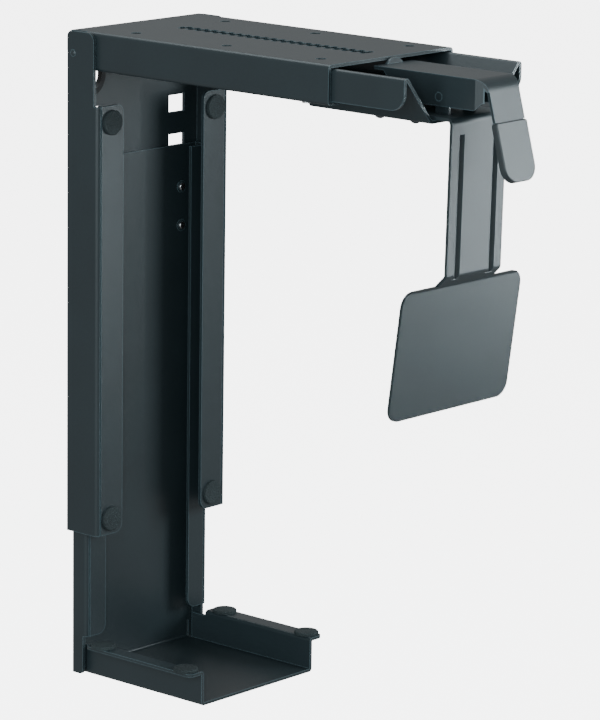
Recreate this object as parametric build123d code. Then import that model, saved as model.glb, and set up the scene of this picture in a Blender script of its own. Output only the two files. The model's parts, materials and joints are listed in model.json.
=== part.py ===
from build123d import *
import os
from math import atan2, degrees, hypot

# CPU holder that hangs under a desk top.
# Build frame: X runs from the back of the column towards the clamp, Y is the depth of the
# computer bay (mirror plane at Y = 0), Z is up and Z = 0 is the face that meets the desk.
# Every node is shifted at the end so that X = 0 is the middle of the desk screw pattern.
os.makedirs("parts", exist_ok=True)

# ---- driving dimensions, mm -------------------------------------------------------------
T = 2.0                    # sheet thickness of every pressed part
GAP = 0.15                 # air between the two column webs

BR_END = 212.0             # open end of the top bracket
BR_W = 113.0               # width over the bracket flanges
BR_H = 24.0                # height of the bracket
BR_LIP = 44.5              # half distance between the bottom lips
END_DROP = 12.0            # height of the bracket's bent-down end
HOLE_X0, HOLE_DX, HOLE_DY, HOLE_D = 41.5, 75.0, 80.0, 6.4
TOOTH, TOOTH_GAP, TEETH = 7.0, 3.6, 22
TOOTH_TAPER = 0.7          # each side of a rack gap leans out by this towards the slot
SLOT_HALF, GAP_HALF = 2.2, 5.5
STOP_X, STOP_Y = 189.2, 49.0
BUF_Y, BUF_Z = 50.0, -8.0  # end buffers inside the bracket
RIVET_X, RIVET_Z, RIVET_R = 6.2, -14.0, 2.0

COL_W, COL_D, COL_END = 118.0, 27.5, -317.0
COL_LIP = 36.2             # half distance between the column lips
LIP_TOP = -45.5
WEB_TOP = -12.6
WIN_Y0, WIN_Y1 = 31.0, 45.2
WIN_TOP, WIN_H, WIN_STEP, SLOT_END = -50.2, 11.0, 25.0, -303.0
GROMMET = (-40.0, -30.0)   # Y, Z of the cable grommet
BORE_R, NECK_R, RING_R = 9.8, 11.4, 13.6
RING_BACK, RING_FRONT = -0.9, 2.9
EAR_X, EAR_TOP = 1.1, -0.3 # rear edge and top of the column's side walls beside the bracket

LOW_W, LOW_X1, LOW_TOP = 111.5, 15.2, -82.0
LOW_LIP = 38.2
LOW_LIP_END = -385.5
TRAY_END, TRAY_HALF, TRAY_Z, TRAY_RIM, TRAY_RIM_HALF = 111.2, 51.5, -410.6, -388.4, 61.8
TRAY_WALL_X, TRAY_RIM_X = 8.0, 20.0
WALL_STEP = 3.4            # the tray walls start this much below the rim
LOCK_Y, LOCK_Z = 40.5, (-109.3, -134.2)

PAD_D, PAD_T = 15.6, 2.0    # rubber bumpers
BEND_REAR, BEND_FRONT = 1.15, 1.8   # bend radii of the columns, to the middle of the sheet
LINE_W, LINE_DEEP = 0.9, 0.6        # pressed line that starts each column lip
LINE_IN = 2.7              # distance of that line from the side of the column
COL_PAD_Y, COL_PAD_Z = 46.5, (-56.0, -307.0)    # bumper centres on the column lips
PAD_X, PAD_Y = (31.0, 102.0), 56.2              # bumper centres on the tray rims
ARM_PAD_Y = 41.0           # bumper centres on the clamp plate

CAR_X0, CAR_X1 = 174.0, 266.9
CAR_FLOOR = -31.2
AXLE = (262.0, -17.0)      # X, Z of the lever axle
PAWL_X, PAWL_TOP, PAWL_T = 213.8, -0.5, 1.8
RACK_X = 213.2             # the rack gaps lie a whole number of teeth before this
STEEL_TOP = -4.0           # upper face of the lever strip
TONGUE_HALF, STRIP_HALF = 13.6, 16.8
FLANGE_LOW = -22.4         # lower edge of the lever's side flanges
EAR_IN, EAR_OUT = 11.5, 13.5
ARM_RIVET_X, ARM_RIVET_Y = (222.0, 249.0), 21.5
GROOVE_Y, GROOVE_HALF, GROOVE_DEEP = 15.7, 2.4, 1.7   # two stiffening grooves of the arm
GROOVE_OVER = 0.2          # the groove's cutter stands this far out of the face
TAPER_X0, TAPER_X1 = 289.0, 297.6   # the lever narrows from strip to tongue between these
CAR_HALF, CAR_WALL_LOW = 52.7, -21.7      # carriage walls, to the middle of the sheet

MID_X = HOLE_X0 + HOLE_DX  # middle of the desk screw pattern
SIDES = (-1, 1)


# ---- helpers ----------------------------------------------------------------------------
def block(x0, x1, y0, y1, z0, z1):
    """Box between two corners."""
    return Pos((x0 + x1) / 2, (y0 + y1) / 2, (z0 + z1) / 2) * Box(x1 - x0, y1 - y0, z1 - z0)


def rod_x(x0, x1, y, z, r):
    return Pos((x0 + x1) / 2, y, z) * Rot(0, 90, 0) * Cylinder(r, x1 - x0)


def rod_y(y0, y1, x, z, r):
    return Pos(x, (y0 + y1) / 2, z) * Rot(90, 0, 0) * Cylinder(r, y1 - y0)


def rod_z(z0, z1, x, y, r):
    return Pos(x, y, (z0 + z1) / 2) * Cylinder(r, z1 - z0)


def strip(points, radius, t=T):
    """Section of a bent sheet: constant thickness either side of a filleted centre line."""
    line = FilletPolyline(*points, radius=radius)
    return trace(line.edges(), line_width=t)


def run_x(face, x0, x1):
    """Extrude a section drawn as (Y, Z) along X."""
    at = Plane(origin=(x0, 0, 0), x_dir=(0, 1, 0), z_dir=(1, 0, 0))
    return extrude(at * face, amount=x1 - x0)


def run_y(face, y0, y1):
    """Extrude a section drawn as (X, Z) along Y."""
    at = Plane(origin=(0, y1, 0), x_dir=(1, 0, 0), z_dir=(0, -1, 0))
    return extrude(at * face, amount=y1 - y0)


def run_z(face, z0, z1):
    """Extrude a section drawn as (X, Y) along Z."""
    return extrude(Pos(0, 0, z0) * face, amount=z1 - z0)


def nip_x(x0, x1, y, z, sy, sz, r):
    """Waste to cut away so that the corner at (y, z) of a plate facing X gets radius r."""
    waste = block(x0, x1, *sorted((y - sy, y + sy * r)), *sorted((z - sz, z + sz * r)))
    return waste - rod_x(x0 - 1, x1 + 1, y + sy * r, z + sz * r, r)


def nip_y(y0, y1, x, z, sx, sz, r):
    """Same for a plate facing Y, corner at (x, z)."""
    waste = block(*sorted((x - sx, x + sx * r)), y0, y1, *sorted((z - sz, z + sz * r)))
    return waste - rod_y(y0 - 1, y1 + 1, x + sx * r, z + sz * r, r)


def nip_z(z0, z1, x, y, sx, sy, r):
    """Same for a plate facing Z, corner at (x, y)."""
    waste = block(*sorted((x - sx, x + sx * r)), *sorted((y - sy, y + sy * r)), z0, z1)
    return waste - rod_z(z0 - 1, z1 + 1, x + sx * r, y + sy * r, r)


def lip_line(face_x, width, z0, z1):
    """Waste for the pressed line down both lips of a column, next to the bend."""
    half = width / 2 - LINE_IN
    x0, x1 = face_x - LINE_DEEP, face_x + 1
    return block(x0, x1, -half, LINE_W - half, z0, z1) + block(x0, x1, half - LINE_W, half, z0, z1)


def pad(d=PAD_D, t=PAD_T):
    """Rubber bumper standing on its local XY plane."""
    body = Pos(0, 0, t / 2) * Cylinder(d / 2, t)
    return fillet(body.edges().sort_by(Axis.Z)[-1], 0.9)


def save(name, shapes):
    """Write one node: a single part or a group of identical parts."""
    items = shapes if isinstance(shapes, (list, tuple)) else [shapes]
    moved = [Pos(-MID_X, 0, 0) * s for s in items]
    solids = [s for m in moved for s in m.solids()]
    if len(items) == 1:
        assert len(solids) == 1, (name, len(solids))
    assert len(solids) == len(items), (name, len(solids))
    out = solids[0] if len(solids) == 1 else Compound(children=solids)
    export_step(out, f"parts/{name}.step")


# ---- top bracket ------------------------------------------------------------------------
bw = BR_W / 2 - T / 2
section = strip([(-BR_LIP, 1 - BR_H), (-bw, 1 - BR_H), (-bw, -1), (bw, -1), (bw, 1 - BR_H),
                 (BR_LIP, 1 - BR_H)], 1.6)
bracket = run_x(section, 4, BR_END)
bracket += run_y(strip([(14, -1), (1, -1), (1, -END_DROP)], 3.0), -BR_W / 2 + 0.1, BR_W / 2 - 0.1)
bracket -= block(0, 6, -54.4, 54.4, -BR_H - 1, -END_DROP - 3)
for s in SIDES:
    for x in (6, BR_END):
        bracket -= nip_z(-BR_H - 1, -BR_H + T + 0.5, x, s * BR_LIP, 1 if x < 10 else -1, s, 3)
    for i in range(3):
        bracket -= rod_z(-3, 1, HOLE_X0 + i * HOLE_DX, s * HOLE_DY / 2, HOLE_D / 2)
first = RACK_X - (TEETH + 2) * TOOTH
last = RACK_X - 3 * TOOTH
bracket -= block(first - 4.9, last + 2.1, -SLOT_HALF, SLOT_HALF, -3, 1)
tight, wide = TOOTH_GAP / 2, TOOTH_GAP / 2 + TOOTH_TAPER
with BuildSketch() as rack:
    for i in range(TEETH):
        with Locations((first + i * TOOTH, 0)):
            Polygon((-wide, -SLOT_HALF), (-tight, -GAP_HALF), (tight, -GAP_HALF), (wide, -SLOT_HALF),
                    (wide, SLOT_HALF), (tight, GAP_HALF), (-tight, GAP_HALF), (-wide, SLOT_HALF), align=None)
bracket -= extrude(Pos(0, 0, -3) * rack.sketch, amount=4)
for s in SIDES:
    bracket -= rod_z(-BR_H - 1, -BR_H + 3, STOP_X, s * STOP_Y, 2.0)
    bracket -= rod_x(-1, 3, s * BUF_Y, BUF_Z, 1.5)
    bracket -= rod_y(*sorted((s * 54, s * 60)), RIVET_X, RIVET_Z, RIVET_R)
save("top_bracket", bracket)

# ---- upper column -----------------------------------------------------------------------
cw = COL_W / 2 - T / 2
lip_x = COL_D - T / 2
bends = [BEND_FRONT, BEND_REAR, BEND_REAR, BEND_FRONT]
section = strip([(lip_x, -COL_LIP), (lip_x, -cw), (1, -cw), (1, cw), (lip_x, cw), (lip_x, COL_LIP)], bends)
column = run_z(section, COL_END, WEB_TOP) - lip_line(COL_D, COL_W, COL_END, 0)
column -= block(COL_D - 3.5, COL_D + 1, -60, 60, LIP_TOP, 0)
column -= rod_x(-1, 3, *GROMMET, NECK_R)
for s in SIDES:
    y0, y1 = sorted((s * (cw - 1), s * (cw + 1)))
    ear = block(EAR_X, COL_D - 3.5, y0, y1, WEB_TOP - 3, EAR_TOP)
    ear -= nip_y(y0 - 1, y1 + 1, EAR_X, EAR_TOP, 1, -1, 4)
    ear -= nip_y(y0 - 1, y1 + 1, COL_D - 3.5, EAR_TOP, -1, -1, 6)
    ear -= block(-1, 3.5, y0 - 1, y1 + 1, WEB_TOP - 4, WEB_TOP)
    column += ear
    column -= nip_x(COL_D - 3, COL_D + 1, s * COL_LIP, LIP_TOP, s, -1, 5)
    column -= nip_x(COL_D - 3, COL_D + 1, s * COL_LIP, COL_END, s, 1, 6)
    for k in range(2):
        top = WIN_TOP - k * WIN_STEP
        low = SLOT_END if k else top - WIN_H
        column -= block(-1, 3, *sorted((s * WIN_Y0, s * WIN_Y1)), low, top)
    column -= rod_y(*sorted((s * 54, s * 60)), RIVET_X, RIVET_Z, RIVET_R)
save("upper_column", column)

rivets = []
for s in SIDES:
    face = s * COL_W / 2
    body = rod_y(*sorted((s * 54.6, face)), RIVET_X, RIVET_Z, RIVET_R)
    dome = Pos(RIVET_X, face - s * 2.2, RIVET_Z) * Sphere(3.0)
    rivets.append(body + (dome & block(0, 12, *sorted((face, face + s * 2)), -20, -8)))
save("corner_rivets", rivets)

save("corner_weld", block(0, T, -54.8, 54.8, WEB_TOP, -END_DROP))

groove = rod_x(0, T, *GROMMET, RING_R + 1) - rod_x(0, T, *GROMMET, NECK_R)
grommet = rod_x(RING_BACK, RING_FRONT, *GROMMET, RING_R) - groove - rod_x(-3, 5, *GROMMET, BORE_R)
rims = [e for e in grommet.edges().filter_by(GeomType.CIRCLE) if abs(e.radius - RING_R) < 0.01]
rims = [e for e in rims if min(abs(e.center().X - RING_BACK), abs(e.center().X - RING_FRONT)) < 0.01]
grommet = fillet(rims, 0.6)
save("cable_grommet", grommet)

save("column_bumpers",
     [Pos(COL_D, s * COL_PAD_Y, h) * Rot(0, 90, 0) * pad() for s in SIDES for h in COL_PAD_Z])

buffers = []
for s in SIDES:
    buffers.append(rod_x(T, 5.9, s * BUF_Y, BUF_Z, 4.0) + rod_x(0.2, T + 1, s * BUF_Y, BUF_Z, 1.5))
save("end_buffers", buffers)

studs = []
for s in SIDES:
    head = rod_z(-BR_H - 1.2, -BR_H, STOP_X, s * STOP_Y, 3.2)
    studs.append(head + rod_z(-BR_H - 0.5, -15.5, STOP_X, s * STOP_Y, 2.0))
save("stop_studs", studs)

# ---- lower column with the tray ---------------------------------------------------------
lw = LOW_W / 2 - T / 2
x0, x1 = T + GAP + T / 2, LOW_X1 - T / 2
section = strip([(x1, -LOW_LIP), (x1, -lw), (x0, -lw), (x0, lw), (x1, lw), (x1, LOW_LIP)], bends)
lower = run_z(section, TRAY_Z + 0.3, LOW_TOP) - lip_line(LOW_X1, LOW_W, TRAY_Z, LOW_TOP)
lower -= block(LOW_X1 - 2.8, LOW_X1 + 1, -60, 60, TRAY_Z - 1, LOW_LIP_END)
lower -= block(0, 6, -50.5, 50.5, TRAY_Z - 1, -398)
lower += run_y(strip([(20, TRAY_Z + 1), (x0, TRAY_Z + 1), (x0, -396)], 2.4), -49.3, 49.3)
half, rim = TRAY_HALF - T / 2, TRAY_RIM - T / 2
section = strip([(-TRAY_RIM_HALF, rim), (-half, rim), (-half, TRAY_Z + 1), (half, TRAY_Z + 1),
                 (half, rim), (TRAY_RIM_HALF, rim)], 1.3)
lower += run_x(section, TRAY_RIM_X, TRAY_END)
wall_top = TRAY_RIM - WALL_STEP
walls = strip([(-half, wall_top), (-half, TRAY_Z + 1), (half, TRAY_Z + 1), (half, wall_top)], 1.3)
lower += run_x(walls, TRAY_WALL_X, TRAY_RIM_X + 1)
for s in SIDES:
    lower -= nip_x(LOW_X1 - 3, LOW_X1 + 1, s * LOW_LIP, LOW_LIP_END, s, 1, 6)
    lower -= nip_y(*sorted((s * 52, s * 56)), LOW_X1 - 2.8, TRAY_Z + 0.3, -1, 1, 3)
    for x in (TRAY_RIM_X, TRAY_END):
        lower -= nip_z(TRAY_RIM - 3, TRAY_RIM + 1, x, s * TRAY_RIM_HALF, 1 if x < 30 else -1, -s, 4)
    for h in LOCK_Z:
        lower -= rod_x(1, 6, s * LOCK_Y, h, 3.5)
save("lower_column", lower)

save("tray_bumpers", [Pos(x, s * PAD_Y, TRAY_RIM) * pad() for s in SIDES for x in PAD_X])

screws, washers, nuts, runners = [], [], [], []
for s in SIDES:
    runner = block(-0.05, T + 0.1, *sorted((s * (WIN_Y0 + 0.05), s * (WIN_Y1 - 0.05))), -145.5, -98.0)
    for h in LOCK_Z:
        y = s * LOCK_Y
        head = rod_x(-4.4, -1.55, y, h, 4.75)
        head = fillet(head.edges().sort_by(Axis.X)[0], 1.6)
        hexagon = Plane(origin=(-4.5, y, h), x_dir=(0, 1, 0), z_dir=(1, 0, 0)) * RegularPolygon(1.75, 6)
        shank = rod_x(-2, 6.0, y, h, 2.45)
        shank = fillet(shank.edges().sort_by(Axis.X)[-1], 0.8)
        screws.append(head + shank - extrude(hexagon, amount=1.9))
        washers.append(rod_x(-1.55, -0.05, y, h, 9.5) - rod_x(-3, 3, y, h, 2.6))
        nut = rod_x(T + GAP + 0.02, 4.15, y, h, 3.5) + rod_x(4.15, 4.75, y, h, 3.9)
        nuts.append(nut - rod_x(0, 9, y, h, 2.5))
        runner -= rod_x(-1, 4, y, h, 2.6)
    runners.append(runner)
save("lock_screws", screws)
save("lock_washers", washers)
save("lock_nuts", nuts)
save("slot_runners", runners)

# ---- carriage ---------------------------------------------------------------------------
floor_z = CAR_FLOOR + T / 2
section = strip([(-CAR_HALF, CAR_WALL_LOW), (-CAR_HALF, -1.2), (-28.6, floor_z), (28.6, floor_z),
                 (CAR_HALF, -1.2), (CAR_HALF, CAR_WALL_LOW)], 1.3)
carriage = run_x(section, CAR_X0, CAR_X1)
ARM_RIVETS = [(x, s * ARM_RIVET_Y) for x in ARM_RIVET_X for s in SIDES]
for s in SIDES:
    y0, y1 = sorted((s * 51.2, s * 54.2))
    carriage -= nip_y(y0, y1, CAR_X1, CAR_WALL_LOW, -1, 1, 10)
    carriage -= block(CAR_X0 - 1, 187.0, y0, y1, -23, -20.6)
    carriage -= rod_y(y0, y1, 180.5, -10.0, 2.0)
for x, y in ARM_RIVETS:
    carriage -= rod_z(-33, -26, x, y, 2.0)
save("carriage", carriage)

shoes = []
for s in SIDES:
    shoe = block(CAR_X0 + 0.5, 187.0, *sorted((s * 46.0, s * 54.44)), -21.95, -6.0)
    shoe -= block(CAR_X0 - 1, 188.0, *sorted((s * 51.7, s * 53.7)), -20.6, 0)
    shoe -= block(CAR_X0 - 1, 188.0, *sorted((s * 40.0, s * 51.8)), -14.0, 0)
    shoe += rod_y(*sorted((s * 51.7, s * 54.0)), 180.5, -10.0, 2.0)
    shoe -= nip_x(CAR_X0 - 1, 188.0, s * 54.44, -21.95, -s, 1, 1.2)
    shoes.append(shoe)
save("glide_shoes", shoes)

# ---- clamp arm --------------------------------------------------------------------------
leg_z = CAR_FLOOR + T * 1.5
arm_top, arm_low = (278.6, leg_z), (276.7, -120.5)
plate_top, plate_low = (269.6, -127.5), (259.2, -206.0)
profile = strip([(216.0, leg_z), arm_top, arm_low, plate_top, plate_low], 2.6)
outline = Pos(0, -75) * Rectangle(50.0, 110.0) + Pos(0, -166.2) * RectangleRounded(109.0, 79.0, 9.0)
arm = run_y(profile, -54.5, 54.5) & run_x(outline, 200, 300)
open_half = GROOVE_HALF * (1 + GROOVE_OVER / GROOVE_DEEP)
lean = degrees(atan2(arm_top[0] - arm_low[0], arm_top[1] - arm_low[1]))
for s in SIDES:
    for face, sign in ((279.6, -1), (277.6, 1)):
        at = Pos(face, s * GROOVE_Y, leg_z) * Rot(0, lean, 0)
        tri = Polygon((GROOVE_OVER, -open_half), (GROOVE_OVER, open_half), (-GROOVE_DEEP, 0.0), align=None)
        rib = at * extrude(Pos(0, 0, -9) * tri, amount=-86)
        arm = arm - rib if sign < 0 else arm + rib
    y0, y1 = sorted((s * EAR_IN, s * EAR_OUT))
    ear = block(AXLE[0] - 5, AXLE[0] + 5, y0, y1, leg_z, AXLE[1]) + rod_y(y0, y1, *AXLE, 5.0)
    arm += ear
    arm -= rod_y(y0 - 1, y1 + 1, *AXLE, 2.55)
for x, y in ARM_RIVETS:
    arm -= rod_z(-33, -26, x, y, 2.0)
save("clamp_arm", arm)

rivets = []
for x, y in ARM_RIVETS:
    below = block(x - 5, x + 5, y - 5, y + 5, CAR_FLOOR - 3, CAR_FLOOR)
    dome = Pos(x, y, CAR_FLOOR + 1.5) * Sphere(4.0) & below
    tail = rod_z(leg_z + 1, leg_z + 2, x, y, 3.2)
    rivets.append(dome + rod_z(CAR_FLOOR - 1, leg_z + 1.5, x, y, 2.0) + tail)
save("arm_rivets", rivets)

dx, dz = plate_low[0] - plate_top[0], plate_low[1] - plate_top[1]
n = hypot(dx, dz)
normal = (dz / n, 0, -dx / n)
pads = []
for f in (0.2, 0.8):
    for s in SIDES:
        spot = (plate_top[0] + dx * f + normal[0], s * ARM_PAD_Y, plate_top[1] + dz * f + normal[2])
        pads.append(Plane(origin=spot, x_dir=(0, 1, 0), z_dir=normal) * pad())
save("clamp_bumpers", pads)

# ---- release lever ----------------------------------------------------------------------
strip_z = STEEL_TOP - T / 2
knee, tip = (294.5, strip_z), (310.2, -62.2)
profile = strip([(PAWL_X - PAWL_T / 2, strip_z), knee, tip], 9.0)
lever = run_y(profile, -STRIP_HALF, STRIP_HALF)
tl = hypot(tip[0] - knee[0], tip[1] - knee[1])
down = ((tip[0] - knee[0]) / tl, 0, (tip[1] - knee[1]) / tl)
out = (-down[2], 0, down[0])
flange = Polygon((219, strip_z), (226, -14), (235, FLANGE_LOW), (288.4, FLANGE_LOW), (293.2, -17.8),
                 (297.4, -17.8), (295.6, -11), (292, strip_z), align=None)
for s in SIDES:
    lever -= block(200, 330, *sorted((s * TONGUE_HALF, s * 30)), -90, -11.0)
    y0, y1 = sorted((s * (STRIP_HALF - T), s * STRIP_HALF))
    lever += run_y(flange, y0, y1)
    lever -= rod_y(y0 - 1, y1 + 1, *AXLE, 2.55)
    corner = [(TAPER_X0, STRIP_HALF), (TAPER_X1, TONGUE_HALF), (TAPER_X1, STRIP_HALF + 1),
              (TAPER_X0, STRIP_HALF + 1)]
    lever -= run_z(make_face(Polyline(*[(x, s * y) for x, y in corner], close=True)), FLANGE_LOW - 1, 0)
pawl = rod_x(PAWL_X - PAWL_T / 2, PAWL_X + PAWL_T / 2, 0, PAWL_TOP - 9.0, 9.0)
lever += pawl & block(200, 220, -8, 8, strip_z - 0.5, 0)

grip_len, grip_gap = 35.5, 0.8


def tongue_plane(distance):
    """Plane on the tongue, distance back from its tip, X along -Y, Y up the tongue."""
    o = (tip[0] - down[0] * distance, 0, tip[1] - down[2] * distance)
    return Plane(origin=o, x_dir=(0, -1, 0), z_dir=tuple(-c for c in out))


half = TONGUE_HALF - 1.2     # half width of the tongue inside the grip
for s in SIDES:
    lever -= tongue_plane(0) * Pos(s * (half + 2), 9) * Box(4, 52, 12)
    corner = Pos(s * (half - 4.5), 4.5) * Box(9, 9, 12) - Pos(s * (half - 9), 9) * Cylinder(9, 14)
    lever -= tongue_plane(0) * corner
save("release_lever", lever)

at = tongue_plane(grip_len / 2 - grip_gap)
shape = Rectangle(28.0, grip_len)
shape = fillet(shape.vertices().group_by(Axis.Y)[0], 9.5)
shape = fillet(shape.vertices().group_by(Axis.Y)[-1], 1.5)
grip = at * extrude(shape, amount=2.3, both=True)
grip = fillet(grip.edges().filter_by(lambda e: abs(abs(at.to_local_coords(e.center()).Z) - 2.3) < 0.05), 0.8)
grip -= lever
save("lever_grip", grip)

# ---- lever axle, clips and spring -------------------------------------------------------
axle = rod_y(-STRIP_HALF, STRIP_HALF, *AXLE, 2.5)
clips = []
for s in SIDES:
    y0, y1 = sorted((s * (EAR_IN - 1.1), s * (EAR_IN - 0.2)))
    axle -= rod_y(y0, y1, *AXLE, 4.0) - rod_y(y0 - 1, y1 + 1, *AXLE, 2.0)
    clip = rod_y(y0, y1, *AXLE, 4.6) - rod_y(y0 - 1, y1 + 1, *AXLE, 2.05)
    clips.append(clip - block(AXLE[0] - 1.7, AXLE[0] + 1.7, y0 - 1, y1 + 1, AXLE[1] - 6, AXLE[1]))
save("lever_axle", axle)
save("axle_clips", clips)

WIRE, COIL, PITCH, TURNS = 0.6, 4.0, 1.4, 4.5
turns = Rot(0, 0, 90) * Helix(pitch=PITCH, height=PITCH * TURNS, radius=COIL, lefthand=True)
coil = sweep(Plane(origin=turns @ 0, z_dir=turns % 0) * Circle(WIRE), path=turns, is_frenet=True)
spring = Pos(AXLE[0], -PITCH * TURNS / 2, AXLE[1]) * Rot(-90, 0, 0) * coil
ends = ((-1, AXLE[1] - COIL, leg_z + T / 2 + WIRE + 0.02), (1, AXLE[1] + COIL, STEEL_TOP - T - WIRE - 0.03))
for side, z_coil, z_foot in ends:
    y = side * PITCH * TURNS / 2
    start, foot = Vector(AXLE[0], y, z_coil), Vector(241.0, y, z_foot)
    reach = foot - start
    leg = extrude(Plane(origin=start, z_dir=reach) * Circle(WIRE), amount=reach.length)
    spring += leg + Pos(foot) * Sphere(WIRE)
save("lever_spring", spring)
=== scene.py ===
import json
from math import radians, sin, cos
import bpy
from mathutils import Vector, Matrix


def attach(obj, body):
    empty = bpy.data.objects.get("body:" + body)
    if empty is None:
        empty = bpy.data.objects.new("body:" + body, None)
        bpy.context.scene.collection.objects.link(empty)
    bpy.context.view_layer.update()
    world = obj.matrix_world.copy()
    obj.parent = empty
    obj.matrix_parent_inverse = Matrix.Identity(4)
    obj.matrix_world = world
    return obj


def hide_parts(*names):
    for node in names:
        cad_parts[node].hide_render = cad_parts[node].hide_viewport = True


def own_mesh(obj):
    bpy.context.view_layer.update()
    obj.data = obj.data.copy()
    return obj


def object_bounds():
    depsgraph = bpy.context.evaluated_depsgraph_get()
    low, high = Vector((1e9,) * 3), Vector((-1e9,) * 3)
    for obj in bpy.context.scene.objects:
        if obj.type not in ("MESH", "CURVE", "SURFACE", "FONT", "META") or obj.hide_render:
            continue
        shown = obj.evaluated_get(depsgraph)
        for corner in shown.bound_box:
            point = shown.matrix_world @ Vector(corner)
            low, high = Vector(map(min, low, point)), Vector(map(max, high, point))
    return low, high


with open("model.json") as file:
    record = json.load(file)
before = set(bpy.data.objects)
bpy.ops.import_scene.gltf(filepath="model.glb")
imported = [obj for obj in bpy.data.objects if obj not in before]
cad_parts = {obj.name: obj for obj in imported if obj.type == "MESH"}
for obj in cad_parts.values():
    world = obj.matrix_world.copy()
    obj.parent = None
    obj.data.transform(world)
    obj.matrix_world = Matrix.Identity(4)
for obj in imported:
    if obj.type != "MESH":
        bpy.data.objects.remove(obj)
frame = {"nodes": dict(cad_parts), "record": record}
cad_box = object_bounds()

# CPU holder under a desk top, at rest with the clamp at its widest. Metres, +Z up.
NODES = frame["nodes"]
SCENE = bpy.context.scene

# ---- looks ------------------------------------------------------------------------------
POWDER = (0.0155, 0.0245, 0.0280)       # dark slate powder coat
RUBBER = (0.020, 0.029, 0.031)
ZINC = (0.56, 0.57, 0.58)
SPRING_STEEL = (0.45, 0.45, 0.45)
NYLON = (0.007, 0.008, 0.009)
GRIP_PLASTIC = (0.022, 0.030, 0.033)
MID_ROUGHNESS = 0.5                     # replaced by the grain wherever there is one
BROAD_SCALE, BROAD_DETAIL = 26.0, 2.0   # slow change of shade over a piece
RAMP_FROM, RAMP_TO = 0.3, 0.7
# painted highlight on sheet edges: how far round the edge is sampled, and where the lightening starts and is
# full
EDGE_RADIUS, EDGE_SAMPLES = 0.0009, 4
EDGE_STARTS, EDGE_FULL = 0.985, 0.80    # cosine between the rounded and the flat normal

# ---- sheet edges and spring -------------------------------------------------------------
SHEET_NODES = ("top_bracket", "upper_column", "lower_column", "carriage", "clamp_arm", "release_lever")
EDGE_WIDTH, EDGE_STEPS, EDGE_ANGLE = 0.0005, 2, 50.0

# ---- stage ------------------------------------------------------------------------------
FLOOR_SIZE, FLOOR_SHADE, FLOOR_GLOW = 40, 0.9, 5.0
FLOOR_DROP = 0.22                       # clears the tray at the lowest height setting
WORLD_STRENGTH = 0.42
AIM = (0.03, 0.0, -0.2)
FILL_AIM = (0.1, 0.0, -0.1)
ARM_AIM = (0.17, 0.0, -0.13)
SOFT_WHITE = (0.84, 0.95, 1.0)
FULL_SPREAD, ARM_SPREAD = 180, 36

# ---- camera -----------------------------------------------------------------------------
AZIMUTH, ELEVATION, ROLL = radians(41.462), radians(12.5), radians(0.804)
TARGET, DISTANCE = Vector((0.02654, 0.0, -0.19433)), 2.3967
SENSOR, FOCAL = 36.0, 196.2


def shader(name, color, roughness, metallic=0.0, specular=0.5):
    """Principled material; the numbers that are the same all over sit on its own sockets."""
    mat = bpy.data.materials.new(name)
    mat.use_nodes = True
    bsdf = mat.node_tree.nodes["Principled BSDF"]
    bsdf.inputs["Base Color"].default_value = (*color, 1.0)
    bsdf.inputs["Roughness"].default_value = roughness
    bsdf.inputs["Metallic"].default_value = metallic
    bsdf.inputs["Specular IOR Level"].default_value = specular
    return mat, mat.node_tree, bsdf


def noise(tree, coord, scale, detail):
    """Noise in object space."""
    node = tree.nodes.new("ShaderNodeTexNoise")
    node.inputs["Scale"].default_value = scale
    node.inputs["Detail"].default_value = detail
    tree.links.new(coord.outputs["Object"], node.inputs["Vector"])
    return node


def halves(tree, a, b):
    """Mean of two values."""
    half = tree.nodes.new("ShaderNodeMath")
    half.operation = "MULTIPLY"
    half.inputs[1].default_value = 0.5
    tree.links.new(b, half.inputs[0])
    mean = tree.nodes.new("ShaderNodeMath")
    mean.operation = "MULTIPLY_ADD"
    mean.inputs[1].default_value = 0.5
    tree.links.new(a, mean.inputs[0])
    tree.links.new(half.outputs[0], mean.inputs[2])
    return mean.outputs[0]


def painted_edge_highlight(tree, shade, light):
    """Mix a lighter shade in where the surface turns sharply: a painted highlight on the sheet edges."""
    add = tree.nodes.new
    rounded = add("ShaderNodeBevel")
    rounded.samples = EDGE_SAMPLES
    rounded.inputs["Radius"].default_value = EDGE_RADIUS
    facet = add("ShaderNodeNewGeometry")
    dot = add("ShaderNodeVectorMath")
    dot.operation = "DOT_PRODUCT"
    tree.links.new(rounded.outputs["Normal"], dot.inputs[0])
    tree.links.new(facet.outputs["True Normal"], dot.inputs[1])
    mask = add("ShaderNodeMapRange")
    mask.inputs["From Min"].default_value = EDGE_STARTS
    mask.inputs["From Max"].default_value = EDGE_FULL
    tree.links.new(dot.outputs["Value"], mask.inputs["Value"])
    blend = add("ShaderNodeMix")
    blend.data_type = "RGBA"
    plain_in, light_in = [i for i in blend.inputs if i.type == "RGBA"]
    light_in.default_value = (*light, 1.0)
    tree.links.new(mask.outputs["Result"], blend.inputs["Factor"])
    tree.links.new(shade, plain_in)
    return [o for o in blend.outputs if o.type == "RGBA"][0]


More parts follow.
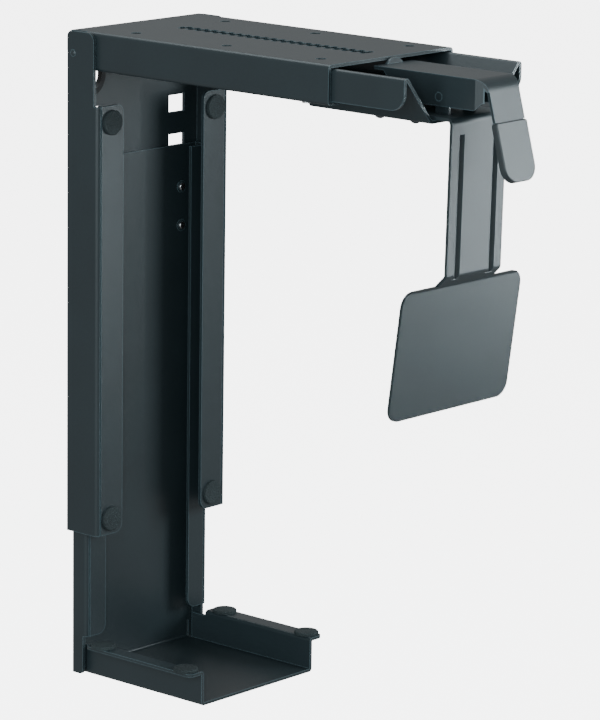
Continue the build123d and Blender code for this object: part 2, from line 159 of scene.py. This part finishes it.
def finish_of(name, color, scale, depth, metallic=0.0, specular=0.5, tint=0.12, rough=(0.45, 0.6),
              detail=3.0, push=0.35, edge=0.0):
    """Material with fine grain: a bump, a slight change of shade and roughness, a painted highlight on the
    edges if asked.
    """
    mat, tree, bsdf = shader(name, color, MID_ROUGHNESS, metallic, specular)
    add = tree.nodes.new
    coord = add("ShaderNodeTexCoord")
    fine = noise(tree, coord, scale, detail)
    broad = noise(tree, coord, BROAD_SCALE, BROAD_DETAIL)
    ramp = add("ShaderNodeValToRGB")
    lo, hi = ramp.color_ramp.elements
    lo.position, hi.position = RAMP_FROM, RAMP_TO
    lo.color = (*[c * (1 - tint) for c in color], 1.0)
    hi.color = (*[min(1.0, c * (1 + tint)) for c in color], 1.0)
    tree.links.new(halves(tree, fine.outputs["Fac"], broad.outputs["Fac"]), ramp.inputs["Fac"])
    shade = ramp.outputs["Color"]
    # a lighter base colour on sharp edges paints a highlight there
    if edge:
        shade = painted_edge_highlight(tree, shade, [min(1.0, c * edge) for c in color])
    tree.links.new(shade, bsdf.inputs["Base Color"])
    spread = add("ShaderNodeMapRange")
    spread.inputs["To Min"].default_value, spread.inputs["To Max"].default_value = rough
    tree.links.new(fine.outputs["Fac"], spread.inputs["Value"])
    tree.links.new(spread.outputs["Result"], bsdf.inputs["Roughness"])
    bump = add("ShaderNodeBump")
    bump.inputs["Strength"].default_value = push
    bump.inputs["Distance"].default_value = depth
    tree.links.new(fine.outputs["Fac"], bump.inputs["Height"])
    tree.links.new(bump.outputs["Normal"], bsdf.inputs["Normal"])
    return mat


def softbox(name, place, aim, size, power, spread=FULL_SPREAD):
    """Rectangular soft light, turned towards aim."""
    data = bpy.data.lights.new(name, "AREA")
    data.shape = "RECTANGLE"
    data.size, data.size_y = size
    data.energy = power
    data.spread = radians(spread)
    data.color = SOFT_WHITE
    lamp = bpy.data.objects.new(name, data)
    SCENE.collection.objects.link(lamp)
    lamp.location = place
    lamp.visible_camera = False
    lamp.rotation_euler = (Vector(aim) - Vector(place)).to_track_quat("-Z", "Y").to_euler()


# ---- materials --------------------------------------------------------------------------
COAT = {"scale": 1600.0, "depth": 0.00010, "specular": 0.42, "rough": (0.34, 0.44)}
LOOKS = {
    # the powder coat gets a painted highlight on its sheet edges
    "powder_coat": finish_of("powder_coat", POWDER, edge=5.0, **COAT),
    "rubber": finish_of("rubber", RUBBER, 1500.0, 0.0008, specular=0.3, tint=0.5, rough=(0.6, 0.8),
                        detail=1.0, push=1.0),
    "zinc_steel": finish_of("zinc_steel", ZINC, 700.0, 0.00004, metallic=1.0, rough=(0.25, 0.4)),
    "spring_steel": finish_of("spring_steel", SPRING_STEEL, 500.0, 0.00003, metallic=1.0, rough=(0.28, 0.4)),
    "nylon": finish_of("nylon", NYLON, 600.0, 0.00006, specular=0.3, rough=(0.45, 0.55)),
    "grip_plastic": finish_of("grip_plastic", GRIP_PLASTIC, 1400.0, 0.0001, rough=(0.36, 0.46)),
}
slots = {row["node"]: row["material_slot"] for row in frame["record"]["subparts"]}
for name, obj in NODES.items():
    obj.data.materials.clear()
    obj.data.materials.append(LOOKS[slots[name]])

# the arm gets no painted edge highlight, so its shallow grooves keep one shade
NODES["clamp_arm"].data.materials[0] = finish_of("powder_coat_plain", POWDER, **COAT)

# ---- softened sheet edges, as thick powder coat leaves them -----------------------------
for name in SHEET_NODES:
    bevel = NODES[name].modifiers.new("edge", "BEVEL")
    bevel.width = EDGE_WIDTH
    bevel.segments = EDGE_STEPS
    bevel.limit_method = "ANGLE"
    bevel.angle_limit = radians(EDGE_ANGLE)
    bevel.harden_normals = False

# ---- torsion spring: its own piece, carried with the clamp; it presses towards its foot on the arm
wire = NODES["lever_spring"]
spring = bpy.data.objects.new("torsion_spring", wire.data.copy())
SCENE.collection.objects.link(spring)
spring.matrix_world = wire.matrix_world.copy()
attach(spring, "clamp")
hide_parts("lever_spring")
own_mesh(spring)

# ---- pale glowing floor, clear from below so that the underside can be looked at --------
bpy.ops.mesh.primitive_plane_add(size=FLOOR_SIZE, location=(0, 0, cad_box[0][2] - FLOOR_DROP))
floor = bpy.context.object
floor.name = "floor"
pale, tree, bsdf = shader("pale_floor", (FLOOR_SHADE,) * 3, 0.9, specular=0.1)
bsdf.inputs["Emission Color"].default_value = (1.0, 1.0, 1.0, 1.0)
bsdf.inputs["Emission Strength"].default_value = FLOOR_GLOW
facing = tree.nodes.new("ShaderNodeNewGeometry")
clear = tree.nodes.new("ShaderNodeBsdfTransparent")
either = tree.nodes.new("ShaderNodeMixShader")
tree.links.new(facing.outputs["Backfacing"], either.inputs["Fac"])
tree.links.new(bsdf.outputs["BSDF"], either.inputs[1])
tree.links.new(clear.outputs["BSDF"], either.inputs[2])
tree.links.new(either.outputs["Shader"], tree.nodes["Material Output"].inputs["Surface"])
floor.data.materials.append(pale)
floor.visible_diffuse = False
floor.visible_glossy = False

# ---- light ------------------------------------------------------------------------------
SCENE.world = bpy.data.worlds.new("studio")
SCENE.world.use_nodes = True
background = SCENE.world.node_tree.nodes["Background"]
background.inputs["Color"].default_value = (1.0, 1.0, 1.0, 1.0)
background.inputs["Strength"].default_value = WORLD_STRENGTH
softbox("key", (1.5, 1.25, 0.4), AIM, (0.9, 0.9), 31)
softbox("arm", (0.45, 0.62, -0.2), ARM_AIM, (0.12, 0.3), 0.22, spread=ARM_SPREAD)
softbox("edge", (1.5, -1.85, 0.35), AIM, (0.3, 1.3), 26)
softbox("fill", (0.3, -2.0, 0.3), FILL_AIM, (0.6, 1.0), 20)
softbox("top", (-0.9, 0.1, 1.7), AIM, (1.4, 1.4), 22)

# ---- camera -----------------------------------------------------------------------------
back = Vector((sin(AZIMUTH) * cos(ELEVATION), -cos(AZIMUTH) * cos(ELEVATION), sin(ELEVATION)))
level = Vector((cos(AZIMUTH), sin(AZIMUTH), 0.0))
up = back.cross(level)
right = level * cos(ROLL) + up * sin(ROLL)
top = up * cos(ROLL) - level * sin(ROLL)
spot = TARGET + back * DISTANCE
camera_data = bpy.data.cameras.new("camera")
camera_data.sensor_width = SENSOR
camera_data.lens = FOCAL
camera = bpy.data.objects.new("camera", camera_data)
SCENE.collection.objects.link(camera)
camera.matrix_world = Matrix([(*row, place) for *row, place in zip(right, top, back, spot)] + [(0, 0, 0, 1)])
SCENE.camera = camera
